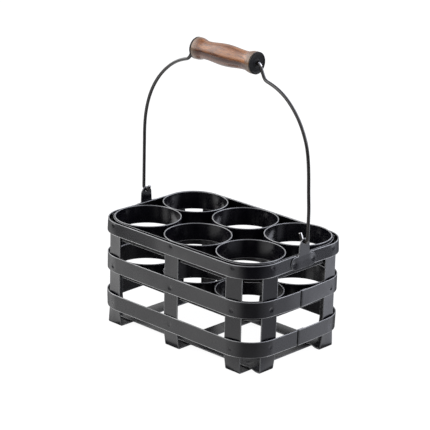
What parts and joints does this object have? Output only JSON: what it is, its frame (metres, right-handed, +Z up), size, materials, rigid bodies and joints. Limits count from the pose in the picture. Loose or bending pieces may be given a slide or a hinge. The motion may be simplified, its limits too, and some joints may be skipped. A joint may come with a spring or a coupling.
{
  "type": "squeeze bottle rack",
  "caption": "Open strip-steel carrier with rings that hold squeeze bottles upright, a swinging wire bail and a turned wood grip.",
  "frame": {"origin": "on the floor under the middle of the rack, at the centre of the middle cross strap's underside", "axes": "+X along the long side and along the grip, +Y across the rack, +Z up"},
  "size_m": [0.267, 0.1686, 0.3465],
  "materials": {
    "black_steel": "black powder coat, satin",
    "grip_wood": "turned and varnished, brown",
    "cap_black": "black, satin"
  },
  "bodies": {
    "rack": {"band_top": "black_steel", "band_middle": "black_steel", "band_bottom": "black_steel", "liner_top": "black_steel", "liner_middle": "black_steel", "ring_top_1": "black_steel", "ring_top_2": "black_steel", "ring_top_3": "black_steel", "ring_top_4": "black_steel", "ring_top_5": "black_steel", "ring_top_6": "black_steel", "ring_middle_1": "black_steel", "ring_middle_2": "black_steel", "ring_middle_3": "black_steel", "ring_middle_4": "black_steel", "ring_middle_5": "black_steel", "ring_middle_6": "black_steel", "strap_cross_left": "black_steel", "strap_cross_middle": "black_steel", "strap_cross_right": "black_steel", "strap_long_front": "black_steel", "strap_long_back": "black_steel", "ear_left": "black_steel", "ear_right": "black_steel"},
    "bail": {"bail": "black_steel"},
    "grip": {"grip": "grip_wood", "grip_cap_left": "cap_black", "grip_cap_right": "cap_black"}
  },
  "joints": [
    {"name": "bail_swing", "type": "hinge", "parent": "rack", "child": "bail", "pos_m": [0, 0, 0.1436], "axis": [1, 0, 0], "range_deg": [-130, 130]},
    {"name": "grip_spin", "type": "hinge", "parent": "bail", "child": "grip", "pos_m": [0, 0, 0.3336], "axis": [1, 0, 0], "continuous": true}
  ]
}
